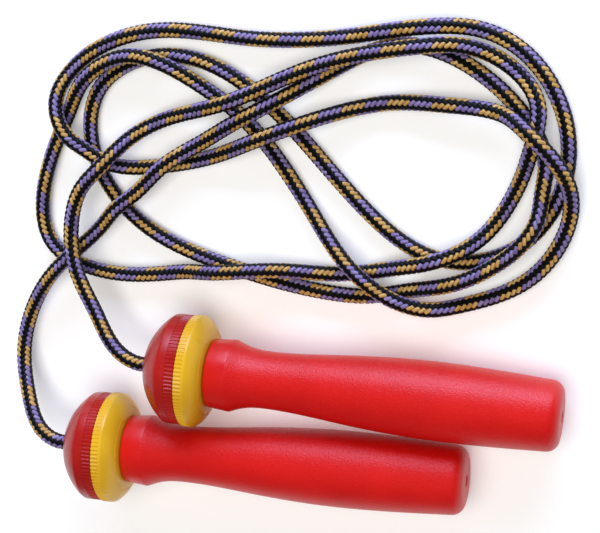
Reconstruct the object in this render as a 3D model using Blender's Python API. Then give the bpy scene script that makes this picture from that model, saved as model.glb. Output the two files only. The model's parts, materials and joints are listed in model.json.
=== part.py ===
# Skipping rope: a braided rope, loosely coiled, with a turning handle on each end.
# Metres, +Z up. The origin is on the ground, in the middle of the two handles' box.

import math

import bmesh
import bpy
import numpy as np
from mathutils import Matrix, Vector

MM = 0.001

# Gaps
GAP = 0.3 * MM                      # between pieces that touch, and round every turning fit
HANDLE_GAP = 2.1 * MM               # between the two handles where they lie closest
ROPE_GAP = 0.5 * MM                 # between rope passes that cross, one over the other
CORD_HOLE_GAP = 0.5 * MM            # round the rope in the cap and in its washer

# Rope
ROPE_DIAMETER = 5.8 * MM
ROPE_CHORD_ERROR = 0.5 * MM         # how far the drawn tube may stray from the smooth route
ROPE_LONGEST_STEP = 4               # in rope diameters
STRAIGHT_EXIT = 2 * MM              # how far the rope runs straight on out of its cap

# Grip: outline as distance behind the neck's face, and radius
GRIP_LENGTH = 124.0 * MM
COLLAR_LENGTH = 7.6 * MM
COLLAR_FACE_RADIUS = 12.2 * MM
COLLAR_EDGE_RADIUS = 12.9 * MM
WAIST_AT = 22 * MM
WAIST_RADIUS = 10.2 * MM
BELLY_AT = 75 * MM
BELLY_RADIUS = 13.6 * MM
TAIL_RADIUS = 12.3 * MM             # where the end's rounding begins
TAIL_ROUNDING = 4.5 * MM
GRIP_WALL = 2.4 * MM

# Base disc: the yellow disc that the grip turns against
RIM_RADIUS = 20.0 * MM
RIM_WIDTH = 3.3 * MM
CONE_HEIGHT = 4.6 * MM
CONE_NOSE_RADIUS = 12.5 * MM
CONE_SWELL = 0.95 * MM              # how far its face stands out from a straight cone
BASE_WEB = 3.6 * MM
SPIGOT_WALL = 3.2 * MM
SPIGOT_HEIGHT = 3.6 * MM

# Cap: the dome that the rope comes out of
CAP_INSET = 0.3 * MM                # how much smaller than the rim it is
CAP_BAND = 6.6 * MM
DOME_HEIGHT = 10.2 * MM
CAP_WALL = 2.0 * MM

# Spindle, bush, washers and clip
SPINDLE_RADIUS = 3.0 * MM
FLANGE_OVERHANG = 3.0 * MM
FLANGE_THICKNESS = 2.0 * MM
SPINDLE_TIP = 2.0 * MM
BUSH_WALL = 3.7 * MM
BUSH_LENGTH = 16.0 * MM
BUSH_FLANGE_OVERHANG = 2.2 * MM
BUSH_FLANGE_THICKNESS = 2.0 * MM
WASHER_OVERHANG = 3.2 * MM
WASHER_THICKNESS = 0.9 * MM
CLIP_OVERHANG = 2.2 * MM
CLIP_THICKNESS = 0.8 * MM

# Rope washer and stopper knot inside the cap
ROPE_WASHER_OVERHANG = 4.0 * MM
ROPE_WASHER_THICKNESS = 1.2 * MM
KNOT_STRAND_SHARE = 0.8             # of the rope's diameter: the knot is pulled tight
KNOT_TURN_SHARE = 0.86              # the knot's mean radius, in rope diameters
KNOT_SWING_SHARE = 0.36             # how far its strand swings in and out, in rope diameters

# Faces round each turned piece
GRIP_FACES = 28
HEAD_FACES = 36
SMALL_FACES = 16
KNOT_POINTS = 30

# Where the handles lie: the cord hole of handle a, the two headings in degrees, and how far
# handle b's cord hole is to the left of handle a's. Handle b lies against handle a.
HANDLE_A_HOLE = (-56.74 * MM, 17.99 * MM)
HANDLE_B_LEFT = 35.0 * MM
HEADINGS = {"a": -7.0, "b": -4.5}

# Rope route from handle a to handle b: x and y in millimetres, and the height in passes:
# 0 lies on the ground, 1 lies on one pass of rope, 2 on two.
ROPE_ROUTE = [
    # over the left side's passes and along the top
    (-69, 23.5, 2.7), (-77, 36, 2.2), (-83.5, 52, 2.1),
    (-84.5, 68, 1.8), (-79, 81.5, 1.8), (-71.5, 88.5, 1.8),
    (-61.5, 98, 0.6), (-54, 102, 0.3), (-22, 110, 1.3),
    (5.5, 119.5, 1), (48, 126.5, 1.4), (63, 125.5, 0.7),
    (76.5, 118.5, 0.2), (86.5, 104, 0.7),
    # down the right side and along the bottom to the left
    (83.5, 90, 0.9), (80.5, 83, 0.4), (74.5, 72, 0.1),
    (63.5, 59.5, 0.4), (46.5, 52.5, 1), (36.5, 50.5, 0.6),
    (9.5, 47.5, 0.1), (-7, 49.5, 0.7), (-35, 49, 0.9), (-44.5, 48.5, 0.3), (-55.5, 47.5, 0.1),
    # up the left side and down the first long diagonal
    (-79, 48.5, 0.1), (-98.5, 58.5, 0), (-94, 94, 0.1),
    (-85.5, 109, 0.1), (-78, 118.5, 0.7), (-59, 127.5, 0.9),
    (-48, 125.5, 1), (-32.5, 115, 0.2), (-21.5, 106, 0), (-6, 87, 0), (6, 67, 0.2), (20, 49.5, 1.1),
    # round the lower right, up and back along the middle
    (46, 35.5, 0.6), (56, 36.5, 0.2), (82.5, 47.5, 0.1), (96, 72, 0.6), (92, 88, 1.8), (83, 98, 1.8),
    (76.5, 102, 1), (56, 106, 0.5), (34, 107, 0), (10, 103, 0.7), (-16.5, 95, 0.9), (-28.5, 91, 0.3),
    (-55, 87, 0.1),
    # round the upper left and along the top
    (-72.5, 90, 0.7), (-78.5, 95, 1.1), (-83.5, 99, 1.2),
    (-88.5, 113, 0.8), (-81.5, 124.5, 0.1), (-69, 131.5, 0.2),
    (-49.5, 135.5, 0.1), (-16, 131.5, 0.1), (24.5, 130.5, 0.3), (54, 132.5, 0.6),
    # down the right side, and up the second long diagonal
    (67.5, 130.5, 0.1), (80.5, 123.5, 0), (95, 86.5, 0), (74.5, 55.5, 0), (49, 52.5, 0), (23, 71, 0),
    (-3, 102, 0), (-37.5, 125.5, 0),
    # down the left side and along the bottom
    (-60, 124.5, 0), (-73.5, 115.5, 0), (-78.5, 99.5, 0),
    (-63.5, 68, 0), (-32.5, 51.5, 0), (8.5, 40.5, 0),
    (24.5, 39.5, 0), (37.5, 41.5, 0.1), (53, 44.5, 0.8),
    # up the right side and back along the top
    (69.5, 51.5, 1), (85.5, 68.5, 1.1), (86.5, 76.5, 0.5),
    (87.5, 84.5, 0.1), (83.5, 97, 0), (75.5, 108, 0),
    (40.5, 126.5, 0.1),
    # down across the left side to handle b
    (14.5, 118.5, 0.1), (-8, 108, 1), (-21.5, 102, 1), (-33.5, 96, 0.6), (-48.5, 88, 1), (-61, 78, 0.9),
    (-68.5, 73, 1), (-75, 67, 0.7), (-84, 59.5, 0.8), (-93, 52.5, 1), (-101, 45, 0.8), (-114, 17.5, 0.6),
    (-110.5, 2.5, 1.6), (-102, -9.5, 2.7),
]


# Shared helpers

def clear_scene():
    for obj in list(bpy.data.objects):
        bpy.data.objects.remove(obj, do_unlink=True)


def plastic(name, colour, roughness, metallic=0.0):
    """A Principled material of one colour (linear RGB)."""
    material = bpy.data.materials.new(name)
    material.use_nodes = True
    shader = material.node_tree.nodes["Principled BSDF"]
    shader.inputs["Base Color"].default_value = (*colour, 1.0)
    shader.inputs["Roughness"].default_value = roughness
    shader.inputs["Metallic"].default_value = metallic
    material.diffuse_color = (*colour, 1.0)
    return material


def smooth_curve(points):
    """A natural cubic curve through the points, as a function of the distance along their chords."""
    points = np.array(points, float)
    chords = np.linalg.norm(np.diff(points, axis=0), axis=1)
    knots = np.concatenate([[0.0], np.cumsum(chords)])
    count = len(points)
    system = np.eye(count)
    target = np.zeros_like(points)
    for i in range(1, count - 1):
        before = chords[i - 1]
        after = chords[i]
        system[i, i - 1:i + 2] = before, 2 * (before + after), after
        target[i] = 6 * ((points[i + 1] - points[i]) / after - (points[i] - points[i - 1]) / before)
    bends = np.linalg.solve(system, target)

    def at(places):
        places = np.asarray(places, float)
        span = np.clip(np.searchsorted(knots, places, side="right") - 1, 0, count - 2)
        step = chords[span][:, None]
        left = (knots[span + 1] - places)[:, None]
        right = (places - knots[span])[:, None]
        value = (bends[span] * left ** 3 + bends[span + 1] * right ** 3) / (6 * step)
        value += (points[span] / step - bends[span] * step / 6) * left
        value += (points[span + 1] / step - bends[span + 1] * step / 6) * right
        return value

    return at, knots[-1]


def turned(name, outline, faces, material, parent):
    """Turns an outline of (radius, height) points round the parent's Z axis.
    The outline is closed, or starts and ends on the axis."""
    mesh = bpy.data.meshes.new(name)
    build = bmesh.new()
    verts = [build.verts.new((radius, 0, height)) for radius, height in outline]
    edges = [build.edges.new(pair) for pair in zip(verts, verts[1:])]
    on_axis = outline[0][0] == 0 and outline[-1][0] == 0
    if not on_axis:
        edges.append(build.edges.new((verts[-1], verts[0])))
    bmesh.ops.spin(build, geom=verts + edges, cent=(0, 0, 0), axis=(0, 0, 1), angle=2 * math.pi,
                   steps=faces, use_merge=True, use_duplicate=False)
    bmesh.ops.remove_doubles(build, verts=build.verts, dist=0.001 * MM)
    bmesh.ops.recalc_face_normals(build, faces=build.faces)
    build.to_mesh(mesh)
    build.free()
    mesh.shade_smooth()
    mesh.set_sharp_from_angle(angle=math.radians(35))
    return placed(name, mesh, material, parent)


def placed(name, data, material, parent):
    obj = bpy.data.objects.new(name, data)
    data.materials.append(material)
    obj.parent = parent
    bpy.context.scene.collection.objects.link(obj)
    return obj


def ring(inner, outer, low, high):
    return [(inner, high), (outer, high), (outer, low), (inner, low)]


# Sizes that follow from the ones above. Heights are along the handle's own Z: 0 is the plane
# between grip and base disc, + towards the cap, - towards the grip's closed end.

BORE_RADIUS = SPINDLE_RADIUS + GAP
FLANGE_RADIUS = SPINDLE_RADIUS + FLANGE_OVERHANG
WASHER_RADIUS = SPINDLE_RADIUS + WASHER_OVERHANG
BUSH_RADIUS = BORE_RADIUS + BUSH_WALL
BUSH_FLANGE_RADIUS = BUSH_RADIUS + BUSH_FLANGE_OVERHANG
NECK_RADIUS = BUSH_RADIUS + GAP
NECK_FACE = -GAP
GRIP_END = NECK_FACE - GRIP_LENGTH
BUSH_END = NECK_FACE - BUSH_LENGTH
CLIP_HIGH = BUSH_END - GAP - WASHER_THICKNESS - GAP
SPINDLE_END = CLIP_HIGH - CLIP_THICKNESS - SPINDLE_TIP

RIM_BACK = CONE_HEIGHT
RIM_FRONT = RIM_BACK + RIM_WIDTH
WASHER_POCKET = GAP + WASHER_THICKNESS
WEB_TOP = WASHER_POCKET + BASE_WEB
SPIGOT_TOP = RIM_FRONT + SPIGOT_HEIGHT
CAP_BACK = RIM_FRONT + GAP
CAP_RADIUS = RIM_RADIUS - CAP_INSET
CAP_BORE = CAP_RADIUS - CAP_WALL
SPIGOT_RADIUS = CAP_BORE - GAP
DOME_START = RIM_FRONT + CAP_BAND
CAP_TOP = DOME_START + DOME_HEIGHT
CORD_HOLE_RADIUS = ROPE_DIAMETER / 2 + CORD_HOLE_GAP
ROPE_WASHER_RADIUS = CORD_HOLE_RADIUS + ROPE_WASHER_OVERHANG


def dome_height(radius, wall):
    """Height of the dome's outer face (wall 0) or inner face at a radius: it is part of a ball."""
    ball = (CAP_RADIUS ** 2 + DOME_HEIGHT ** 2) / (2 * DOME_HEIGHT)
    return CAP_TOP - ball + math.sqrt((ball - wall) ** 2 - radius ** 2)


ROPE_WASHER_HIGH = dome_height(ROPE_WASHER_RADIUS, CAP_WALL) - GAP
ROPE_END = ROPE_WASHER_HIGH - ROPE_WASHER_THICKNESS


# Grip

def grip_outline():
    """(distance behind the neck's face, radius) of the grip's outside, from its edge to its tail."""
    tail = GRIP_LENGTH - TAIL_ROUNDING
    past_edge = COLLAR_LENGTH + (WAIST_AT - COLLAR_LENGTH) / 3
    stations = [
        (COLLAR_LENGTH, COLLAR_EDGE_RADIUS),
        (past_edge, WAIST_RADIUS + (COLLAR_EDGE_RADIUS - WAIST_RADIUS) / 3),
        (WAIST_AT, WAIST_RADIUS),
        ((WAIST_AT + BELLY_AT) / 2, (WAIST_RADIUS + BELLY_RADIUS) / 2 + 0.2 * MM),
        (BELLY_AT, BELLY_RADIUS),
        (tail, TAIL_RADIUS),
    ]
    at, length = smooth_curve(stations)
    places = [length * share for share in (0, 0.03, 0.07, 0.13, 0.22, 0.33, 0.45, 0.58, 0.7, 0.84, 1)]
    curved = [tuple(point) for point in at(places)]
    rounding = [
        (tail + TAIL_ROUNDING * math.sin(turn), TAIL_RADIUS - TAIL_ROUNDING * (1 - math.cos(turn)))
        for turn in (math.pi / 6, math.pi / 3, math.pi / 2)
    ]
    return curved + rounding


def grip_profile():
    """Outside from the tail's middle to the neck, then the inside back to the tail's middle."""
    outside = [(radius, NECK_FACE - behind) for behind, radius in grip_outline()]
    points = [(0, GRIP_END)] + outside[::-1]
    points.append((COLLAR_FACE_RADIUS, NECK_FACE))
    pocket = BUSH_FLANGE_RADIUS + GAP
    pocket_floor = NECK_FACE - BUSH_FLANGE_THICKNESS - GAP
    points.append((pocket, NECK_FACE))
    points.append((pocket, pocket_floor))
    points.append((NECK_RADIUS, pocket_floor))
    hollow_top = BUSH_END - GAP
    points.append((NECK_RADIUS, hollow_top))
    hollow_end = GRIP_END + GRIP_WALL
    for radius, height in outside:
        inner = radius - GRIP_WALL
        if height < hollow_top - 2 * MM and height > hollow_end + TAIL_ROUNDING / 2:
            points.append((inner, height))
    points.append((TAIL_RADIUS - GRIP_WALL - TAIL_ROUNDING / 2, hollow_end))
    points.append((0, hollow_end))
    return points


def make_grip(tag, materials, parent):
    turned("grip_" + tag, grip_profile(), GRIP_FACES, materials["grip"], parent)


def make_neck_bush(tag, materials, parent):
    step = NECK_FACE - BUSH_FLANGE_THICKNESS
    outline = [
        (BORE_RADIUS, NECK_FACE),
        (BUSH_FLANGE_RADIUS, NECK_FACE),
        (BUSH_FLANGE_RADIUS, step),
        (BUSH_RADIUS, step),
        (BUSH_RADIUS, BUSH_END),
        (BORE_RADIUS, BUSH_END),
    ]
    turned("neck_bush_" + tag, outline, SMALL_FACES, materials["bush"], parent)


# Head: what the rope is tied to, and what stays still while the grip turns

def cone_point(share):
    """(radius, height) on the cone's face, which swells a little, from the nose (0) to the rim (1)."""
    swell = 4 * CONE_SWELL * share * (1 - share)
    across = RIM_RADIUS - CONE_NOSE_RADIUS
    slope = math.hypot(across, CONE_HEIGHT)
    radius = CONE_NOSE_RADIUS + across * share + swell * CONE_HEIGHT / slope
    return min(radius, RIM_RADIUS), max(0, CONE_HEIGHT * share - swell * across / slope)


def make_base_disc(tag, materials, parent):
    spigot_bore = SPIGOT_RADIUS - SPIGOT_WALL
    pocket = WASHER_RADIUS + GAP
    cone = [cone_point(share) for share in (1, 0.93, 0.8, 0.6, 0.35, 0)]
    outline = [
        (BORE_RADIUS, WEB_TOP),
        (spigot_bore, WEB_TOP),
        (spigot_bore, SPIGOT_TOP),
        (SPIGOT_RADIUS, SPIGOT_TOP),
        (SPIGOT_RADIUS, RIM_FRONT),
        (RIM_RADIUS, RIM_FRONT),
        *cone,
        (pocket, 0),
        (pocket, WASHER_POCKET),
        (BORE_RADIUS, WASHER_POCKET),
    ]
    turned("base_disc_" + tag, outline, HEAD_FACES, materials["base"], parent)


def make_cap(tag, materials, parent):
    """The band is a short cylinder, and the dome on it is part of a ball with the cord hole."""
    outline = [(CAP_RADIUS, CAP_BACK), (CAP_BORE, CAP_BACK)]
    for wall, rows in ((CAP_WALL, range(7)), (0.0, range(8, -1, -1))):
        across = CAP_RADIUS - wall
        for i in rows:
            radius = across + (CORD_HOLE_RADIUS - across) * i / (len(rows) - 1)
            outline.append((radius, dome_height(radius, wall)))
    turned("cap_" + tag, outline, HEAD_FACES, materials["cap"], parent)


def make_spindle(tag, materials, parent):
    low = WEB_TOP + GAP
    high = low + FLANGE_THICKNESS
    outline = [
        (0, high),
        (FLANGE_RADIUS, high),
        (FLANGE_RADIUS, low),
        (SPINDLE_RADIUS, low),
        (SPINDLE_RADIUS, SPINDLE_END),
        (0, SPINDLE_END),
    ]
    turned("spindle_" + tag, outline, SMALL_FACES, materials["steel"], parent)


def make_washers_and_clip(tag, materials, parent):
    thrust_low = NECK_FACE + GAP
    thrust = ring(BORE_RADIUS, WASHER_RADIUS, thrust_low, thrust_low + WASHER_THICKNESS)
    turned("thrust_washer_" + tag, thrust, SMALL_FACES, materials["steel"], parent)
    retaining_high = BUSH_END - GAP
    retaining = ring(BORE_RADIUS, WASHER_RADIUS, retaining_high - WASHER_THICKNESS, retaining_high)
    turned("retaining_washer_" + tag, retaining, SMALL_FACES, materials["steel"], parent)
    clip = ring(BORE_RADIUS, BORE_RADIUS + CLIP_OVERHANG, CLIP_HIGH - CLIP_THICKNESS, CLIP_HIGH)
    turned("push_on_clip_" + tag, clip, SMALL_FACES, materials["steel"], parent)
    cord = ring(CORD_HOLE_RADIUS, ROPE_WASHER_RADIUS, ROPE_END, ROPE_WASHER_HIGH)
    turned("rope_washer_" + tag, cord, SMALL_FACES, materials["steel"], parent)


def make_rope_knot(tag, materials, parent):
    """A closed three-lobed knot of rope, pulled tight under the rope's end."""
    strand = ROPE_DIAMETER * KNOT_STRAND_SHARE / 2
    mean = ROPE_DIAMETER * KNOT_TURN_SHARE
    swing = ROPE_DIAMETER * KNOT_SWING_SHARE
    rise = strand + GAP
    middle = ROPE_END - GAP - strand - rise
    curve = bpy.data.curves.new("rope_knot_" + tag, "CURVE")
    curve.dimensions = "3D"
    curve.bevel_depth = strand
    curve.bevel_resolution = 1
    spline = curve.splines.new("POLY")
    spline.points.add(KNOT_POINTS - 1)
    for i, point in enumerate(spline.points):
        turn = 2 * math.pi * i / KNOT_POINTS
        out = mean + swing * math.cos(3 * turn)
        point.co = (out * math.cos(2 * turn), out * math.sin(2 * turn), middle + rise * math.sin(3 * turn), 1)
    spline.use_cyclic_u = True
    placed("rope_knot_" + tag, curve, materials["rope"], parent)


def make_handle(tag, pose, materials):
    """All of one handle's pieces under one empty, whose Z is the axis that the grip turns on."""
    axis = bpy.data.objects.new("turning_axis_" + tag, None)
    bpy.context.scene.collection.objects.link(axis)
    axis.matrix_world = pose
    make_grip(tag, materials, axis)
    make_neck_bush(tag, materials, axis)
    make_base_disc(tag, materials, axis)
    make_cap(tag, materials, axis)
    make_spindle(tag, materials, axis)
    make_washers_and_clip(tag, materials, axis)
    make_rope_knot(tag, materials, axis)


# Where the handles lie

def silhouette():
    """Stations along the handle's Z with the radius there, from the grip's end to the cap's top."""
    stations = [(NECK_FACE - behind, radius) for behind, radius in grip_outline()][::-1]
    stations += [(NECK_FACE, COLLAR_FACE_RADIUS), (0.0, CONE_NOSE_RADIUS)]
    stations += [(RIM_BACK, RIM_RADIUS), (DOME_START, RIM_RADIUS)]
    stations += [(dome_height(CAP_RADIUS * share, 0), CAP_RADIUS * share) for share in (0.9, 0.7, 0.4, 0)]
    return np.array(stations)


def lying_pitch():
    """How far a handle tips, lying on its rim's back edge and on its grip."""
    slopes = [
        math.atan2(RIM_RADIUS - radius, RIM_BACK - height)
        for height, radius in silhouette()
        if height < 0
    ]
    return min(slopes)


def handle_pose(hole_x, hole_y, heading, pitch):
    """Stands the handle's Z along its heading, cap first, with the cap's top over the given place."""
    towards_cap = Vector((-math.cos(heading) * math.cos(pitch), -math.sin(heading) * math.cos(pitch),
                          math.sin(pitch)))
    sideways = Vector((-math.sin(heading), math.cos(heading), 0))
    upward = towards_cap.cross(sideways)
    turn = Matrix((sideways, upward, towards_cap)).transposed().to_4x4()
    rim_height = RIM_RADIUS * math.cos(pitch)
    place = Vector((hole_x, hole_y, rim_height + (CAP_TOP - RIM_BACK) * math.sin(pitch)))
    return Matrix.Translation(place - towards_cap * CAP_TOP) @ turn


def outline_over_ground(pose):
    """For rising x: the axis's y and z, and the radius, of a lying handle."""
    stations = silhouette()
    points = np.array([pose @ Vector((0, 0, height)) for height, radius in stations])
    order = np.argsort(points[:, 0])
    return points[order], stations[order, 1]


def lay_beside(pose_a, heading, pitch):
    """Handle b's pose: to the left of handle a by HANDLE_B_LEFT, and just clear of it."""
    hole_x = HANDLE_A_HOLE[0] - HANDLE_B_LEFT
    first = handle_pose(hole_x, HANDLE_A_HOLE[1], heading, pitch)
    axis_a, radius_a = outline_over_ground(pose_a)
    axis_b, radius_b = outline_over_ground(first)
    low = max(axis_a[0, 0], axis_b[0, 0])
    high = min(axis_a[-1, 0], axis_b[-1, 0])
    places = np.linspace(low, high, 400)
    reach = np.interp(places, axis_a[:, 0], radius_a) + np.interp(places, axis_b[:, 0], radius_b)
    rise = np.interp(places, axis_a[:, 0], axis_a[:, 2]) - np.interp(places, axis_b[:, 0], axis_b[:, 2])
    apart = np.interp(places, axis_a[:, 0], axis_a[:, 1]) - np.interp(places, axis_b[:, 0], axis_b[:, 1])
    needed = np.sqrt(np.maximum((reach + HANDLE_GAP) ** 2 - rise ** 2, 0))
    return handle_pose(hole_x, HANDLE_A_HOLE[1] - max(needed - apart), heading, pitch)


# Rope

def route_points(poses):
    """From inside cap a, straight out of its hole, along the route, and into cap b."""
    on_pass = ROPE_DIAMETER + ROPE_GAP
    lowest = (ROPE_DIAMETER + GAP / 2) / 2
    along = [Vector((x * MM, y * MM, lowest + lift * on_pass)) for x, y, lift in ROPE_ROUTE]
    ends = [
        [pose @ Vector((0, 0, height)) for height in (ROPE_END, CAP_TOP, CAP_TOP + STRAIGHT_EXIT)]
        for pose in poses
    ]
    return ends[0] + along + ends[1][::-1]


def tube_points(points):
    """Points on the smooth route, close together where it bends, so that chords stay near it."""
    at, length = smooth_curve(points)
    places = np.linspace(0, length, 4000)
    fine = at(places)
    step = places[1]
    bend = np.linalg.norm(np.gradient(np.gradient(fine, step, axis=0), step, axis=0), axis=1)
    bend = np.convolve(bend, np.ones(9) / 9, mode="same")
    density = np.maximum(np.sqrt(bend / (8 * ROPE_CHORD_ERROR)), 1 / (ROPE_LONGEST_STEP * ROPE_DIAMETER))
    progress = np.concatenate([[0.0], np.cumsum((density[1:] + density[:-1]) / 2 * step)])
    count = math.ceil(progress[-1])
    return at(np.interp(np.linspace(0, progress[-1], count + 1), progress, places))


def make_rope(materials, poses):
    curve = bpy.data.curves.new("rope", "CURVE")
    curve.dimensions = "3D"
    curve.bevel_depth = ROPE_DIAMETER / 2
    curve.bevel_resolution = 2
    curve.use_fill_caps = True
    points = tube_points(route_points(poses))
    spline = curve.splines.new("POLY")
    spline.points.add(len(points) - 1)
    for point, place in zip(spline.points, points):
        point.co = (*place, 1)
    placed("rope", curve, materials["rope"], None)


def main():
    clear_scene()
    materials = {
        "grip": plastic("textured red polyethylene", (0.76, 0.010, 0.008), 0.5),
        "cap": plastic("glossy red polypropylene", (0.58, 0.017, 0.012), 0.22),
        "base": plastic("yellow polypropylene", (0.80, 0.55, 0.04), 0.3),
        "bush": plastic("white acetal", (0.80, 0.80, 0.76), 0.4),
        "steel": plastic("zinc plated steel", (0.60, 0.60, 0.62), 0.3, 1.0),
        "rope": plastic("black polypropylene braid", (0.02, 0.02, 0.03), 0.6),
    }
    pitch = lying_pitch()
    pose_a = handle_pose(*HANDLE_A_HOLE, math.radians(HEADINGS["a"]), pitch)
    pose_b = lay_beside(pose_a, math.radians(HEADINGS["b"]), pitch)
    make_handle("a", pose_a, materials)
    make_handle("b", pose_b, materials)
    make_rope(materials, (pose_a, pose_b))


main()
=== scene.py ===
import json
import math

import bmesh
import bpy
import numpy as np
from mathutils import Matrix, Vector


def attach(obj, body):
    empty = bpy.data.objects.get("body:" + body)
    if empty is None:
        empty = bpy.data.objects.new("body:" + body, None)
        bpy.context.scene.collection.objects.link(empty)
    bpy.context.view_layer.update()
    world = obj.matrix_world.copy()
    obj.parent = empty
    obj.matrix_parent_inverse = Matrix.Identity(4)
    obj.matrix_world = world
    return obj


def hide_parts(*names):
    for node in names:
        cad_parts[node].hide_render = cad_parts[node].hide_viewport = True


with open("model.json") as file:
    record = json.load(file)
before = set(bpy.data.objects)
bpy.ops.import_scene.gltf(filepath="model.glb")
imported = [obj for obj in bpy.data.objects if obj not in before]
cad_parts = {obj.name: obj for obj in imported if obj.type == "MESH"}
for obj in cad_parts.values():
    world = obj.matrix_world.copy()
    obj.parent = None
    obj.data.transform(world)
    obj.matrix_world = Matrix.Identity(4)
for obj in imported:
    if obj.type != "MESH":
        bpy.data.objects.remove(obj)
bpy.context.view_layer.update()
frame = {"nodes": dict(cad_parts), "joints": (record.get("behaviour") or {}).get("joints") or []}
mm = 0.001
handleTags = ("a", "b")
headBody = "rope_and_heads"
creaseAngle = math.radians(34)     # an edge that turns more than this shows as a crease
weldDistance = 0.001 * mm
pointsPerRib = 4                   # round a ribbed edge: two on the rib, two in the groove beside it


def say(text):
    print("scene:", text, flush=True)


def linearColour(hexText, alpha=1.0):
    values = [int(hexText[i:i + 2], 16) / 255 for i in (1, 3, 5)]
    return tuple(v / 12.92 if v <= 0.04045 else ((v + 0.055) / 1.055) ** 2.4 for v in values) + (alpha,)


def addNode(tree, kind, settings=None, links=None):
    node = tree.nodes.new(kind)
    for key, value in (settings or {}).items():
        if isinstance(key, int) or key in node.inputs:
            node.inputs[key].default_value = value
        else:
            setattr(node, key, value)
    for socket, source in (links or {}).items():
        tree.links.new(source, node.inputs[socket])
    return node


def newMaterial(name, settings):
    # settings go straight onto the Principled shader's sockets
    material = bpy.data.materials.new(name)
    material.use_nodes = True
    shader = material.node_tree.nodes["Principled BSDF"]
    for key, value in settings.items():
        shader.inputs[key].default_value = value
    return material, material.node_tree, shader


def colourStops(ramp, stops):
    elements = ramp.color_ramp.elements
    while len(elements) < len(stops):
        elements.new(0.5)
    for element, (place, colour) in zip(elements, stops):
        element.position = place
        element.color = colour


def finished(name, build, materials, body, place):
    # turns a bmesh into a piece that sits at the origin, with its place in its mesh
    bmesh.ops.transform(build, matrix=place, verts=build.verts)
    mesh = bpy.data.meshes.new(name)
    build.to_mesh(mesh)
    build.free()
    mesh.shade_smooth()
    mesh.set_sharp_from_angle(angle=creaseAngle)
    for material in materials:
        mesh.materials.append(material)
    piece = bpy.data.objects.new(name, mesh)
    bpy.context.scene.collection.objects.link(piece)
    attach(piece, body)
    return piece


def turned(profile, steps):
    # spins (radius, height) points round Z; the profile is closed, or starts and ends on the axis
    build = bmesh.new()
    verts = [build.verts.new((radius * mm, 0, height * mm)) for radius, height in profile]
    edges = [build.edges.new(pair) for pair in zip(verts, verts[1:])]
    if profile[0][0] > 0:
        edges.append(build.edges.new((verts[-1], verts[0])))
    bmesh.ops.spin(build, geom=verts + edges, cent=(0, 0, 0), axis=(0, 0, 1), angle=2 * math.pi,
                   steps=steps, use_merge=True, use_duplicate=False)
    bmesh.ops.remove_doubles(build, verts=build.verts, dist=weldDistance)
    bmesh.ops.recalc_face_normals(build, faces=build.faces)
    return build


def roundRing(build, radius, height, size, segments=3):
    # bevels the turned edge that lies at this radius and height
    near = 0.02 * mm

    def there(vert):
        across = math.hypot(vert.co.x, vert.co.y)
        return abs(across - radius * mm) < near and abs(vert.co.z - height * mm) < near

    edges = [edge for edge in build.edges if all(there(vert) for vert in edge.verts)]
    bmesh.ops.bevel(build, geom=edges, offset=size * mm, offset_type="OFFSET", affect="EDGES",
                    segments=segments, profile=0.5, material=-1)


def cutRibs(build, count, depth, radius, low, high):
    # every second pair of points round the band moves inwards, which leaves ribs between the grooves
    skin = 0.35      # the band's own points lie within this of its face, and everything else deeper
    groove = []
    for vert in build.verts:
        across = math.hypot(vert.co.x, vert.co.y)
        if low * mm <= vert.co.z <= high * mm and across > (radius - skin) * mm:
            place = math.atan2(vert.co.y, vert.co.x) / (2 * math.pi) * count * pointsPerRib
            if round(place) % pointsPerRib >= pointsPerRib / 2:
                groove.append(vert)
    share = 1 - depth / radius
    bmesh.ops.scale(build, vec=(share, share, 1), verts=groove)


def smoothCurve(points):
    # a natural cubic curve through the points, read by distance along their chords
    points = np.array(points, float)
    chords = np.linalg.norm(np.diff(points, axis=0), axis=1)
    knots = np.concatenate([[0.0], np.cumsum(chords)])
    count = len(points)
    system = np.eye(count)
    target = np.zeros_like(points)
    for i in range(1, count - 1):
        before = chords[i - 1]
        after = chords[i]
        system[i, i - 1:i + 2] = before, 2 * (before + after), after
        target[i] = 6 * ((points[i + 1] - points[i]) / after - (points[i] - points[i - 1]) / before)
    bends = np.linalg.solve(system, target)

    def at(places):
        places = np.asarray(places, float)
        span = np.clip(np.searchsorted(knots, places, side="right") - 1, 0, count - 2)
        step = chords[span][:, None]
        left = (knots[span + 1] - places)[:, None]
        right = (places - knots[span])[:, None]
        value = (bends[span] * left ** 3 + bends[span + 1] * right ** 3) / (6 * step)
        value += (points[span] / step - bends[span] * step / 6) * left
        value += (points[span + 1] / step - bends[span + 1] * step / 6) * right
        return value

    return at, knots[-1]


camera = {
    "target": (-3.04 * mm, 49.29 * mm, 0),
    "towards": (0.331, 0.215, 0.919),      # from the object to the camera
    "distance": 587.5 * mm,
    "lens": 98.86,                         # on a 36 mm wide sensor
}


def makeCamera():
    data = bpy.data.cameras.new("camera")
    data.sensor_width = 36
    data.sensor_fit = "HORIZONTAL"
    data.lens = camera["lens"]
    data.clip_start = 0.01
    data.clip_end = 20
    towards = Vector(camera["towards"]).normalized()
    right = (Vector((1, 0, 0)) - towards * towards.x).normalized()
    up = towards.cross(right)
    turn = Matrix((right, up, towards)).transposed().to_4x4()
    place = Vector(camera["target"]) + towards * camera["distance"]
    obj = bpy.data.objects.new("camera", data)
    obj.matrix_world = Matrix.Translation(place) @ turn
    bpy.context.scene.collection.objects.link(obj)
    bpy.context.scene.camera = obj


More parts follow.
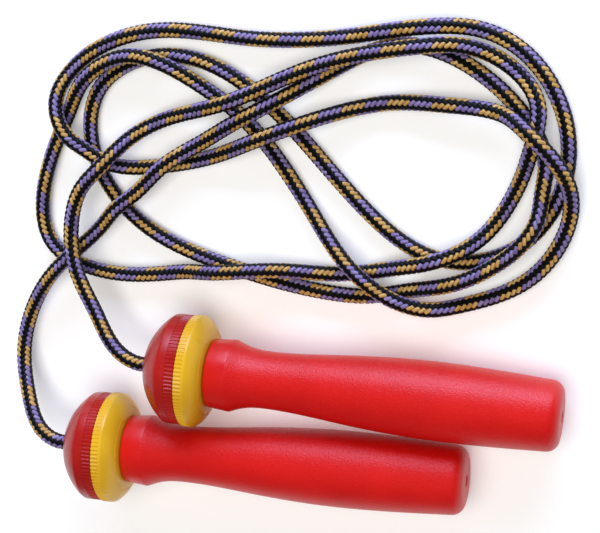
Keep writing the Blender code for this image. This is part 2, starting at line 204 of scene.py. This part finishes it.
studio = {
    "floorSize": 8.0,
    "floorColour": "#F0F0EF",
    "floorGlow": 0.2,
    "skyColour": "#F1F3FA",
    "skyStrength": 0.17,
    # name: place, what it faces, size, watts, colour, shows in reflections
    "lights": {
        "window": ((0.15, 1.4, 0.47), (0, 0.05, 0), (1.2, 0.76), 26, "#C6D5FF", True),
        "ceiling": ((0.1, 0.1, 1.7), (0, 0.05, 0), (1.3, 1.3), 24, "#FFFDF8", False),
    },
}


def makeStudio():
    build = bmesh.new()
    bmesh.ops.create_grid(build, x_segments=1, y_segments=1, size=studio["floorSize"] / 2)
    mesh = bpy.data.meshes.new("floor")
    build.to_mesh(mesh)
    build.free()
    # Matt wall paint, rolled on: it spreads all light evenly. A slight glow of its own lightens the shadows.
    paint = newMaterial("matt white paint", {
        "Base Color": linearColour(studio["floorColour"]), "Roughness": 0.95,
        "Specular IOR Level": 0.2,
        "Emission Color": (1, 1, 1, 1), "Emission Strength": studio["floorGlow"]})[0]
    mesh.materials.append(paint)
    floor = bpy.data.objects.new("floor", mesh)
    bpy.context.scene.collection.objects.link(floor)
    for name, (place, target, size, watts, colour, reflected) in studio["lights"].items():
        light = bpy.data.lights.new(name, "AREA")
        light.shape = "RECTANGLE"
        light.size, light.size_y = size
        light.energy = watts
        light.color = linearColour(colour)[:3]
        obj = bpy.data.objects.new(name, light)
        facing = Vector(target) - Vector(place)
        obj.matrix_world = Matrix.Translation(place) @ facing.to_track_quat("-Z", "Y").to_matrix().to_4x4()
        obj.visible_glossy = reflected
        bpy.context.scene.collection.objects.link(obj)
    world = bpy.data.worlds.new("studio")
    world.use_nodes = True
    sky = world.node_tree.nodes["Background"]
    sky.inputs["Color"].default_value = linearColour(studio["skyColour"])
    sky.inputs["Strength"].default_value = studio["skyStrength"]
    bpy.context.scene.world = world
    bpy.context.scene.view_settings.view_transform = "Standard"


makeCamera()
makeStudio()
say("camera, floor and light")


# Along a handle, z runs from the closed end of the grip to the cap, and is 0 between grip and base disc.
handle = {
    "capTop": 24.7 * mm,         # the top of the dome, as if it had no hole
}


def handlePlace(tag):
    joint = next(j for j in frame["joints"] if j["name"] == "grip_" + tag + "_spin")
    along = Vector(joint["axis"]).normalized()
    sideways = Vector((0, 0, 1)).cross(along).normalized()
    upward = along.cross(sideways)
    turn = Matrix((sideways, upward, along)).transposed().to_4x4()
    return Matrix.Translation(joint["pos_m"]) @ turn


rope = {
    "diameter": 5.8 * mm,
    "gap": 0.5 * mm,             # between passes that cross
    "lift": 0.075 * mm,          # off the ground, for yarns that swell past the diameter
    "straightExit": 2 * mm,
    "insideCap": 4.77 * mm,      # where the rope's end meets its stopper knot, below the cap's top
    "pathStep": 1.0 * mm,
    "lay": 16.5 * mm,            # one yarn's full turn round the rope
    "drift": 520 * mm,           # the whole braid slowly turns once in this length
    "statedEvery": 3,            # path points from one to the next
    "coreEvery": 4,              # and that the core is drawn through
}

# x and y in millimetres, and the height in passes: 0 lies on the ground, 1 on one pass of rope
ropeRoute = [
    # over the left side's passes and along the top
    (-69, 23.5, 2.7), (-77, 36, 2.2), (-83.5, 52, 2.1),
    (-84.5, 68, 1.8), (-79, 81.5, 1.8), (-71.5, 88.5, 1.8),
    (-61.5, 98, 0.6), (-54, 102, 0.3), (-22, 110, 1.3),
    (5.5, 119.5, 1), (48, 126.5, 1.4), (63, 125.5, 0.7),
    (76.5, 118.5, 0.2), (86.5, 104, 0.7),
    # down the right side and along the bottom to the left
    (83.5, 90, 0.9), (80.5, 83, 0.4), (74.5, 72, 0.1),
    (63.5, 59.5, 0.4), (46.5, 52.5, 1), (36.5, 50.5, 0.6),
    (9.5, 47.5, 0.1), (-7, 49.5, 0.7), (-35, 49, 0.9), (-44.5, 48.5, 0.3), (-55.5, 47.5, 0.1),
    # up the left side and down the first long diagonal
    (-79, 48.5, 0.1), (-98.5, 58.5, 0), (-94, 94, 0.1),
    (-85.5, 109, 0.1), (-78, 118.5, 0.7), (-59, 127.5, 0.9),
    (-48, 125.5, 1), (-32.5, 115, 0.2), (-21.5, 106, 0), (-6, 87, 0), (6, 67, 0.2), (20, 49.5, 1.1),
    # round the lower right, up and back along the middle
    (46, 35.5, 0.6), (56, 36.5, 0.2), (82.5, 47.5, 0.1), (96, 72, 0.6), (92, 88, 1.8), (83, 98, 1.8),
    (76.5, 102, 1), (56, 106, 0.5), (34, 107, 0), (10, 103, 0.7), (-16.5, 95, 0.9), (-28.5, 91, 0.3),
    (-55, 87, 0.1),
    # round the upper left and along the top
    (-72.5, 90, 0.7), (-78.5, 95, 1.1), (-83.5, 99, 1.2),
    (-88.5, 113, 0.8), (-81.5, 124.5, 0.1), (-69, 131.5, 0.2),
    (-49.5, 135.5, 0.1), (-16, 131.5, 0.1), (24.5, 130.5, 0.3), (54, 132.5, 0.6),
    # down the right side, and up the second long diagonal
    (67.5, 130.5, 0.1), (80.5, 123.5, 0), (95, 86.5, 0), (74.5, 55.5, 0), (49, 52.5, 0), (23, 71, 0),
    (-3, 102, 0), (-37.5, 125.5, 0),
    # down the left side and along the bottom
    (-60, 124.5, 0), (-73.5, 115.5, 0), (-78.5, 99.5, 0),
    (-63.5, 68, 0), (-32.5, 51.5, 0), (8.5, 40.5, 0),
    (24.5, 39.5, 0), (37.5, 41.5, 0.1), (53, 44.5, 0.8),
    # up the right side and back along the top
    (69.5, 51.5, 1), (85.5, 68.5, 1.1), (86.5, 76.5, 0.5),
    (87.5, 84.5, 0.1), (83.5, 97, 0), (75.5, 108, 0),
    (40.5, 126.5, 0.1),
    # down across the left side to handle b
    (14.5, 118.5, 0.1), (-8, 108, 1), (-21.5, 102, 1), (-33.5, 96, 0.6), (-48.5, 88, 1), (-61, 78, 0.9),
    (-68.5, 73, 1), (-75, 67, 0.7), (-84, 59.5, 0.8), (-93, 52.5, 1), (-101, 45, 0.8), (-114, 17.5, 0.6),
    (-110.5, 2.5, 1.6), (-102, -9.5, 2.7),
]


def ropePath():
    radius = rope["diameter"] / 2
    lowest = radius + rope["lift"]
    onPass = rope["diameter"] + rope["gap"]
    ends = []
    for tag in handleTags:
        place = handlePlace(tag)
        heights = (-rope["insideCap"], 0, rope["straightExit"])
        ends.append([place @ Vector((0, 0, handle["capTop"] + h)) for h in heights])
    along = [Vector((x * mm, y * mm, lowest + lift * onPass)) for x, y, lift in ropeRoute]
    at, length = smoothCurve(ends[0] + along + ends[1][::-1])
    return at(np.linspace(0, length, round(length / rope["pathStep"]) + 1))


def carriedFrames(points):
    # tangents, and a normal carried along without twist
    tangents = np.gradient(points, axis=0)
    tangents /= np.linalg.norm(tangents, axis=1)[:, None]
    normals = np.empty_like(points)
    normal = np.array([0.0, 0.0, 1.0])
    for i, tangent in enumerate(tangents):
        normal = normal - tangent * (normal @ tangent)
        normal /= np.linalg.norm(normal)
        normals[i] = normal
    return tangents, normals, np.cross(tangents, normals)


# Eight yarns run one way round the rope and eight the other, each over two and under two.
braid = {
    "yarns": 8,                  # each way
    "middle": 2.08 * mm,         # radius halfway between over and under
    "swing": 0.36 * mm,          # how far a yarn rises and sinks from there
    "blackWidth": 1.74 * mm,
    "colourWidth": 1.46 * mm,
    "thickness": 0.86 * mm,
    "squeeze": 0.18,             # narrower under its neighbours, by this share
    "waves": 4,                  # how often a yarn comes up in one turn
    "meeting": math.pi / 4,      # shifts the waves so that one yarn is up where the other is down
    "steepness": 2.0,            # how quickly a yarn dives between over and under
    "grainShift": 37,            # millimetres between neighbouring yarns' streaks
    "sides": 6,
    "pointsPerLay": 20,
}


def sweptYarn(path, frames, turnWay, index, width):
    # ring by ring: centres on the helix, a flat oval across the rope's surface
    tangents, normals, sides = frames
    travelled = np.concatenate([[0.0], np.cumsum(np.linalg.norm(np.diff(path, axis=0), axis=1))])
    count = round(travelled[-1] / rope["lay"] * braid["pointsPerLay"])
    places = np.linspace(0, travelled[-1], count + 1)
    angles = turnWay * 2 * math.pi * places / rope["lay"] + 2 * math.pi * index / braid["yarns"]
    wave = np.cos(braid["waves"] * angles + braid["meeting"]) * turnWay
    lift = np.tanh(braid["steepness"] * wave) / math.tanh(braid["steepness"])
    drifted = angles + 2 * math.pi * places / rope["drift"]

    def read(values):
        return np.stack([np.interp(places, travelled, values[:, i]) for i in range(3)], axis=1)

    centre = read(path)
    outward = np.cos(drifted)[:, None] * read(normals) + np.sin(drifted)[:, None] * read(sides)
    outward /= np.linalg.norm(outward, axis=1)[:, None]
    middle = centre + outward * (braid["middle"] + braid["swing"] * lift)[:, None]
    along = np.gradient(middle, axis=0)
    along /= np.linalg.norm(along, axis=1)[:, None]
    across = np.cross(along, outward)
    across /= np.linalg.norm(across, axis=1)[:, None]
    outward = np.cross(across, along)
    fullness = 1 - braid["squeeze"] * (1 - lift) / 2
    turns = np.arange(braid["sides"]) * 2 * math.pi / braid["sides"]
    rings = (
        middle[:, None, :]
        + across[:, None, :] * (np.cos(turns)[None, :] * (width / 2 * fullness)[:, None])[:, :, None]
        + outward[:, None, :] * (np.sin(turns) * braid["thickness"] / 2)[None, :, None]
    )
    return rings.reshape(-1, 3), places, count + 1


def tubeFaces(start, rings, sides):
    # quads between rings, and a flat face on each end
    ring = np.arange(rings - 1)[:, None] * sides
    side = np.arange(sides)[None, :]
    following = (side + 1) % sides
    quads = np.stack([ring + side, ring + following, ring + sides + following, ring + sides + side], axis=2)
    faces = [tuple(quad) for quad in (quads.reshape(-1, 4) + start).tolist()]
    last = start + (rings - 1) * sides
    faces.append(tuple(start + i for i in reversed(range(sides))))
    faces.append(tuple(last + i for i in range(sides)))
    return faces


def yarnPiece(name, path, frames, yarns, width, material):
    # Yarns is a list of (way round, index). The yarnSpace attribute is the distance along the yarn in
    # millimetres, then the place across it and outwards from -1 to 1.
    points, faces, spaces = [], [], []
    start = 0
    turns = np.arange(braid["sides"]) * 2 * math.pi / braid["sides"]
    for turnWay, index in yarns:
        yarnPoints, places, rings = sweptYarn(path, frames, turnWay, index, width)
        points.append(yarnPoints)
        faces += tubeFaces(start, rings, braid["sides"])
        along = np.repeat(places / mm + braid["grainShift"] * index, braid["sides"])
        across = np.tile(np.cos(turns), rings)
        outward = np.tile(np.sin(turns), rings)
        spaces.append(np.stack([along, across, outward], axis=1))
        start += len(yarnPoints)
    mesh = bpy.data.meshes.new(name)
    mesh.from_pydata(np.concatenate(points).tolist(), [], faces)
    space = mesh.attributes.new("yarnSpace", "FLOAT_VECTOR", "POINT")
    space.data.foreach_set("vector", np.concatenate(spaces).astype(np.float32).ravel())
    build = bmesh.new()
    build.from_mesh(mesh)
    bmesh.ops.recalc_face_normals(build, faces=build.faces)
    build.to_mesh(mesh)
    build.free()
    mesh.shade_smooth()
    mesh.materials.append(material)
    piece = bpy.data.objects.new(name, mesh)
    bpy.context.scene.collection.objects.link(piece)
    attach(piece, headBody)
    return piece


def yarnMaterial(name, colours, roughness, settings=None):
    # Polypropylene multifilament, melt-spun and braided: bundles of fine round filaments, so each stitch
    # has a silky streak along the yarn and its sides go dark where they dive under the next yarn. The pale
    # end of each yarn's colours is painted sheen, laid along the streaks.
    # The filaments, 0.04 mm, are drawn as streaks 0.15 mm wide so that they show.
    material, tree, shader = newMaterial(name, {"IOR": 1.49, **(settings or {})})
    place = addNode(tree, "ShaderNodeAttribute", {"attribute_name": "yarnSpace"})
    drawn = addNode(tree, "ShaderNodeMapping", {"Scale": (0.35, 3.2, 3.2)},
                    {"Vector": place.outputs["Vector"]})
    streaks = addNode(tree, "ShaderNodeTexNoise", {"Scale": 1.6, "Detail": 3.0, "Roughness": 0.65},
                      {"Vector": drawn.outputs["Vector"]})
    # and the dye differs a little from one 20 mm stretch to the next
    batch = addNode(tree, "ShaderNodeMapping", {"Scale": (0.05, 0.2, 0.2)},
                    {"Vector": place.outputs["Vector"]})
    lots = addNode(tree, "ShaderNodeTexNoise", {"Scale": 1.0, "Detail": 1.0},
                   {"Vector": batch.outputs["Vector"]})
    blend = addNode(tree, "ShaderNodeMath", {"operation": "MULTIPLY_ADD", 1: 0.35},
                    {0: lots.outputs["Fac"], 2: streaks.outputs["Fac"]})
    # the brightest streaks get the last and palest colour, which is painted sheen, and also a lower
    # roughness
    ramp = addNode(tree, "ShaderNodeValToRGB", None, {"Fac": blend.outputs["Value"]})
    colourStops(ramp, [(0.38, linearColour(colours[0])), (0.62, linearColour(colours[1])),
                       (0.95, linearColour(colours[2]))])
    tree.links.new(ramp.outputs["Color"], shader.inputs["Base Color"])
    shine = addNode(tree, "ShaderNodeMapRange", {"From Min": 0.3, "From Max": 0.7,
                    "To Min": roughness + 0.12, "To Max": roughness - 0.08},
                    {"Value": streaks.outputs["Fac"]})
    tree.links.new(shine.outputs["Result"], shader.inputs["Roughness"])
    bump = addNode(tree, "ShaderNodeBump", {"Strength": 0.5, "Distance": 0.00009},
                   {"Height": streaks.outputs["Fac"]})
    tree.links.new(bump.outputs["Normal"], shader.inputs["Normal"])
    return material


def makeRope():
    path = ropePath()
    frames = carriedFrames(path)
    # each yarn's colours run from a dark tone of its dye to a pale painted sheen
    black = yarnMaterial("black polypropylene yarn", ("#030303", "#070707", "#11100F"), 0.52,
                         {"Specular IOR Level": 0.28})
    violet = yarnMaterial("violet polypropylene yarn", ("#3E3158", "#7A699B", "#A99CC8"), 0.40)
    gold = yarnMaterial("gold polypropylene yarn", ("#6E4A1A", "#B78A44", "#E7C888"), 0.33)
    pieces = {
        "rope_black_yarns_outer": ([(1, i) for i in range(4)], braid["blackWidth"], black),
        "rope_black_yarns_inner": ([(1, i) for i in range(4, 8)], braid["blackWidth"], black),
        "rope_violet_yarns": ([(-1, i) for i in range(4)], braid["colourWidth"], violet),
        "rope_gold_yarns": ([(-1, i) for i in range(4, 8)], braid["colourWidth"], gold),
    }
    pieces = {name: yarnPiece(name, path, frames, *given) for name, given in pieces.items()}
    core = makeCore(path, black)
    declared = pieces.pop("rope_black_yarns_outer")
    length = float(np.linalg.norm(np.diff(path, axis=0), axis=1).sum())
    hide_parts("rope")
    say(f"rope, {length:.3f} m")


def makeCore(path, material):
    # the filling that the yarns are braided round, seen only in the chinks between them
    curve = bpy.data.curves.new("rope_core", "CURVE")
    curve.dimensions = "3D"
    curve.bevel_depth = braid["middle"] - braid["swing"]
    curve.bevel_resolution = 2
    curve.use_fill_caps = True
    every = path[::rope["coreEvery"]]
    spline = curve.splines.new("POLY")
    spline.points.add(len(every) - 1)
    for point, place in zip(spline.points, every):
        point.co = (*place, 1)
    curve.materials.append(material)
    piece = bpy.data.objects.new("rope_core", curve)
    bpy.context.scene.collection.objects.link(piece)
    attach(piece, headBody)
    return piece


makeRope()


# Cap: millimetres, height above the plane between grip and base disc.
cap = {
    "radius": 19.7,
    "bore": 17.7,
    "back": 8.2,
    "backRound": 0.18,
    "ribsEnd": 11.4,
    "ribsFade": 0.15,            # length of the slope that each groove ends in
    "ribs": 88,
    "ribDepth": 0.32,
    "crease": 14.5,              # where the band turns into the dome
    "creaseRound": 0.55,
    "domeRise": 10.2,
    "domeWall": 2.0,
    "hole": 3.4,
    "holeRound": 0.6,
    "domeRows": 16,
}


def domeRow(radius, wall):
    # height of the dome, part of a sphere, at a radius
    ball = (cap["radius"] ** 2 + cap["domeRise"] ** 2) / (2 * cap["domeRise"])
    centre = cap["crease"] + cap["domeRise"] - ball
    return centre + math.sqrt((ball - wall) ** 2 - radius ** 2)


def makeCap(tag, material):
    radii = [cap["radius"] + (cap["hole"] - cap["radius"]) * i / cap["domeRows"]
             for i in range(1, cap["domeRows"] + 1)]
    profile = [(cap["bore"], cap["back"]), (cap["radius"], cap["back"]),
               (cap["radius"], cap["ribsEnd"]), (cap["radius"], cap["ribsEnd"] + cap["ribsFade"]),
               (cap["radius"], cap["crease"])]
    profile += [(radius, domeRow(radius, 0)) for radius in radii]
    profile += [(radius, domeRow(radius, cap["domeWall"])) for radius in radii[::-1] if radius < cap["bore"]]
    profile.append((cap["bore"], domeRow(cap["bore"], cap["domeWall"])))
    build = turned(profile, cap["ribs"] * pointsPerRib)
    roundRing(build, cap["radius"], cap["crease"], cap["creaseRound"])
    roundRing(build, cap["hole"], domeRow(cap["hole"], 0), cap["holeRound"])
    roundRing(build, cap["radius"], cap["back"], cap["backRound"], 1)
    cutRibs(build, cap["ribs"], cap["ribDepth"], cap["radius"], cap["back"],
            cap["ribsEnd"] + cap["ribsFade"] / 2)
    piece = finished("dome_cap_" + tag, build, [material], headBody, handlePlace(tag))
    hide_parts("cap_" + tag)


# Base disc: its cone faces the grip, its spigot holds the cap.
disc = {
    "radius": 20.0,
    "rimBack": 4.6,
    "rimFront": 7.9,
    "ribs": 88,
    "ribDepth": 0.34,
    "nose": 12.5,
    "coneSwell": 0.95,           # how far the face stands out from a straight cone
    "coneRows": 16,
    "ringRow": 5,                # a faint moulded step round the cone, and its points from there
    "ring": [(-0.08, 0.1), (-0.3, 0), (-0.38, -0.12)],
    "rimRound": 0.45,
    "noseRound": 0.3,
    "ribsBack": 5.1,
    "ribsFade": 0.15,
    "spigot": (17.4, 14.2, 11.5),    # outer and inner radius, height
    "spigotRound": 0.4,
    "web": 4.8,
    "pocket": (6.5, 1.2),
    "bore": 3.3,
}


def conePoint(share):
    # (radius, height) on the cone's face, which swells a little, from the nose (0) to the rim (1)
    swell = 4 * disc["coneSwell"] * share * (1 - share)
    across = disc["radius"] - disc["nose"]
    slope = math.hypot(across, disc["rimBack"])
    radius = disc["nose"] + across * share + swell * disc["rimBack"] / slope
    return min(radius, disc["radius"]), max(0, disc["rimBack"] * share - swell * across / slope)


def makeBaseDisc(tag, material):
    outer, inner, top = disc["spigot"]
    pocket, pocketFloor = disc["pocket"]
    profile = [(disc["bore"], disc["web"]), (inner, disc["web"]), (inner, top), (outer, top),
               (outer, disc["rimFront"]), (disc["radius"], disc["rimFront"]),
               (disc["radius"], disc["ribsBack"] + disc["ribsFade"]), (disc["radius"], disc["ribsBack"])]
    for row in range(disc["coneRows"], 0, -1):
        radius, height = conePoint(row / disc["coneRows"])
        profile.append((radius, height))
        if row == disc["ringRow"]:
            profile += [(radius + across, height + up) for across, up in disc["ring"]]
    profile += [(disc["nose"], 0), (pocket, 0), (pocket, pocketFloor), (disc["bore"], pocketFloor)]
    build = turned(profile, disc["ribs"] * pointsPerRib)
    roundRing(build, disc["radius"], disc["rimBack"], disc["rimRound"])
    roundRing(build, disc["nose"], 0, disc["noseRound"], 2)
    roundRing(build, outer, top, disc["spigotRound"], 2)
    cutRibs(build, disc["ribs"], disc["ribDepth"], disc["radius"],
            disc["ribsBack"] + disc["ribsFade"] / 2, disc["rimFront"])
    piece = finished("ribbed_disc_" + tag, build, [material], headBody, handlePlace(tag))
    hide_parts("base_disc_" + tag)


# Grip: each place is a distance behind its neck face, and a radius.
grip = {
    "face": -0.3,                # height of the neck face
    "faceRadius": 12.2,
    "faceRound": 0.45,
    "edgeRound": 0.22,           # where the collar ends
    "smoothFrom": 0.1,           # its smooth finish starts this far from there
    "length": 124.0,
    "stations": [(7.6, 12.9), (12.4, 11.1), (22, 10.2), (48.5, 12.1), (75, 13.6), (119.5, 12.3)],
    "rows": 60,
    "tailRounding": 4.5,
    "tailSteps": 6,
    "wall": 2.4,
    "neckBore": 7.3,
    "pocket": (9.5, 2.3),        # for the bush's flange: radius and depth
    "hollowFrom": 16.3,
    "hollowSlope": 1.7,          # length over which it widens behind the neck
    "hollowCorner": (2.2, 2.0),  # how far its far corner is cut off, across and along
    "hollowEvery": 3,            # rows of the outside for each row of the inside
    "steps": 96,
    # round mark in the closed end, where the mould was filled: radius and depth
    "gate": [(0, 0.15), (0.7, 0.35), (1.9, 0.35), (2.2, 0)],
}


def makeGrip(tag, grained, smooth):
    at, length = smoothCurve(grip["stations"])
    outside = [tuple(point) for point in at(np.linspace(0, length, grip["rows"]))]
    tail, tailRadius = grip["stations"][-1]
    rounding = grip["tailRounding"]
    for i in range(1, grip["tailSteps"] + 1):
        turn = math.pi / 2 * i / grip["tailSteps"]
        outside.append((tail + rounding * math.sin(turn), tailRadius - rounding * (1 - math.cos(turn))))
    end = grip["length"]
    pocketRadius, pocketDepth = grip["pocket"]
    profile = [(radius, end - depth) for radius, depth in grip["gate"]]
    profile += [(radius, behind) for behind, radius in outside[::-1]]
    profile += [(grip["faceRadius"], 0), (pocketRadius, 0), (pocketRadius, pocketDepth),
                (grip["neckBore"], pocketDepth), (grip["neckBore"], grip["hollowFrom"])]
    hollowEnd = end - grip["wall"]
    cornerAcross, cornerAlong = grip["hollowCorner"]
    profile += [(radius - grip["wall"], behind) for behind, radius in outside[::grip["hollowEvery"]]
                if grip["hollowFrom"] + grip["hollowSlope"] < behind < hollowEnd - cornerAlong]
    profile += [(tailRadius - grip["wall"] - cornerAcross, hollowEnd), (0, hollowEnd)]
    profile = [(radius, grip["face"] - behind) for radius, behind in profile]
    build = turned(profile, grip["steps"])
    edge = grip["face"] - grip["stations"][0][0]
    roundRing(build, grip["stations"][0][1], edge, grip["edgeRound"], 2)
    roundRing(build, grip["faceRadius"], grip["face"], grip["faceRound"])
    for face in build.faces:
        face.material_index = int(face.calc_center_median().z > (edge + grip["smoothFrom"]) * mm)
    piece = finished("grip_shell_" + tag, build, [grained, smooth], "grip_" + tag,
                     handlePlace(tag))
    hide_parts("grip_" + tag)


def mouldedPlastic(name, colours, roughness, settings=None):
    # Injection-moulded plastic from a polished mould: the pigment swirls a little as it flows, over some
    # 14 mm, with slight sink that makes reflections waver, and handling dulls it in spots about 4 mm wide.
    material, tree, shader = newMaterial(name, {"IOR": 1.49, **(settings or {})})
    spot = addNode(tree, "ShaderNodeTexCoord").outputs["Object"]
    flow = addNode(tree, "ShaderNodeTexNoise", {"Scale": 70.0, "Detail": 1.0, "Roughness": 0.4,
                   "Distortion": 0.4}, {"Vector": spot})
    ramp = addNode(tree, "ShaderNodeValToRGB", None, {"Fac": flow.outputs["Fac"]})
    colourStops(ramp, [(0.3, linearColour(colours[0])), (0.7, linearColour(colours[1]))])
    tree.links.new(ramp.outputs["Color"], shader.inputs["Base Color"])
    scuff = addNode(tree, "ShaderNodeTexNoise", {"Scale": 260.0, "Detail": 2.0, "Roughness": 0.5},
                    {"Vector": spot})
    shine = addNode(tree, "ShaderNodeMapRange", {"From Min": 0.3, "From Max": 0.7,
                    "To Min": roughness - 0.05, "To Max": roughness + 0.07}, {"Value": scuff.outputs["Fac"]})
    tree.links.new(shine.outputs["Result"], shader.inputs["Roughness"])
    sink = addNode(tree, "ShaderNodeBump", {"Strength": 0.10, "Distance": 0.0001},
                   {"Height": flow.outputs["Fac"]})
    tree.links.new(sink.outputs["Normal"], shader.inputs["Normal"])
    return material


def grainedPlastic(name, colours, roughness):
    # The same plastic from a spark-eroded mould: a fine even orange-peel grain that spreads the light.
    # The grain, about 0.25 mm, is drawn 0.6 mm across so that it shows.
    material, tree, shader = newMaterial(name, {"IOR": 1.49})
    spot = addNode(tree, "ShaderNodeTexCoord").outputs["Object"]
    flow = addNode(tree, "ShaderNodeTexNoise", {"Scale": 60.0, "Detail": 3.0, "Roughness": 0.5},
                   {"Vector": spot})
    pits = addNode(tree, "ShaderNodeTexNoise", {"Scale": 1700.0, "Detail": 2.0, "Roughness": 0.6},
                   {"Vector": spot})
    tone = addNode(tree, "ShaderNodeMath", {"operation": "MULTIPLY_ADD", 1: 0.6},
                   {0: pits.outputs["Fac"], 2: flow.outputs["Fac"]})
    ramp = addNode(tree, "ShaderNodeValToRGB", None, {"Fac": tone.outputs["Value"]})
    colourStops(ramp, [(0.55, linearColour(colours[0])), (1.0, linearColour(colours[1]))])
    tree.links.new(ramp.outputs["Color"], shader.inputs["Base Color"])
    shine = addNode(tree, "ShaderNodeMapRange", {"From Min": 0.3, "From Max": 0.7,
                    "To Min": roughness - 0.06, "To Max": roughness + 0.08}, {"Value": pits.outputs["Fac"]})
    tree.links.new(shine.outputs["Result"], shader.inputs["Roughness"])
    bump = addNode(tree, "ShaderNodeBump", {"Strength": 0.9, "Distance": 0.0002},
                   {"Height": pits.outputs["Fac"]})
    tree.links.new(bump.outputs["Normal"], shader.inputs["Normal"])
    return material


def platedSteel(name, colours, roughness):
    # Zinc-plated or blued steel, stamped or turned: a soft metal shine with fine spangle, 0.7 mm across.
    material, tree, shader = newMaterial(name, {"Metallic": 1.0})
    spot = addNode(tree, "ShaderNodeTexCoord").outputs["Object"]
    spangle = addNode(tree, "ShaderNodeTexVoronoi", {"Scale": 1400.0}, {"Vector": spot})
    ramp = addNode(tree, "ShaderNodeValToRGB", None, {"Fac": spangle.outputs["Distance"]})
    colourStops(ramp, [(0.1, linearColour(colours[0])), (0.8, linearColour(colours[1]))])
    tree.links.new(ramp.outputs["Color"], shader.inputs["Base Color"])
    shine = addNode(tree, "ShaderNodeMapRange", {"To Min": roughness - 0.06, "To Max": roughness + 0.1},
                    {"Value": spangle.outputs["Distance"]})
    tree.links.new(shine.outputs["Result"], shader.inputs["Roughness"])
    return material


def mixedYarns(name):
    # The stopper knot, of the same braid pulled tight: flecks of the three yarn colours, drawn 2 mm across.
    material, tree, shader = newMaterial(name, {"IOR": 1.49, "Roughness": 0.5})
    spot = addNode(tree, "ShaderNodeTexCoord").outputs["Object"]
    cells = addNode(tree, "ShaderNodeTexVoronoi", {"Scale": 480.0}, {"Vector": spot})
    split = addNode(tree, "ShaderNodeSeparateColor", None, {"Color": cells.outputs["Color"]})
    ramp = addNode(tree, "ShaderNodeValToRGB", None, {"Fac": split.outputs["Red"]})
    ramp.color_ramp.interpolation = "CONSTANT"
    colourStops(ramp, [(0.0, linearColour("#0C0D13")), (0.5, linearColour("#7A62B8")),
                       (0.75, linearColour("#B98436"))])
    tree.links.new(ramp.outputs["Color"], shader.inputs["Base Color"])
    bump = addNode(tree, "ShaderNodeBump", {"Strength": 0.8, "Distance": 0.0003},
                   {"Height": cells.outputs["Distance"]})
    tree.links.new(bump.outputs["Normal"], shader.inputs["Normal"])
    return material


def refinish(node, material):
    for holder in frame["nodes"][node].material_slots:
        holder.link = "OBJECT"
        holder.material = material


def makeHandles():
    grained = grainedPlastic("red polypropylene, spark-eroded", ("#CA0D0A", "#D4140F"), 0.39)
    collar = mouldedPlastic("red polypropylene, polished", ("#C4100C", "#CE1510"), 0.34)
    capRed = mouldedPlastic("dark red polypropylene, polished", ("#A01410", "#AC1913"), 0.29,
                            {"Specular IOR Level": 0.42})
    discYellow = mouldedPlastic("yellow polypropylene, polished", ("#D8A41A", "#E1B020"), 0.32)
    bush = mouldedPlastic("white acetal", ("#E6E4DC", "#EFEDE6"), 0.4)
    steel = platedSteel("zinc-plated steel", ("#B4B7BA", "#D3D6D8"), 0.32)
    spring = platedSteel("blued spring steel", ("#3A3F47", "#565C66"), 0.38)
    knot = mixedYarns("knotted polypropylene braid")
    for tag in handleTags:
        makeCap(tag, capRed)
        makeBaseDisc(tag, discYellow)
        makeGrip(tag, grained, collar)
        refinish("neck_bush_" + tag, bush)
        for part in ("spindle_", "thrust_washer_", "retaining_washer_", "rope_washer_"):
            refinish(part + tag, steel)
        refinish("push_on_clip_" + tag, spring)
        refinish("rope_knot_" + tag, knot)
    say("handles")


makeHandles()
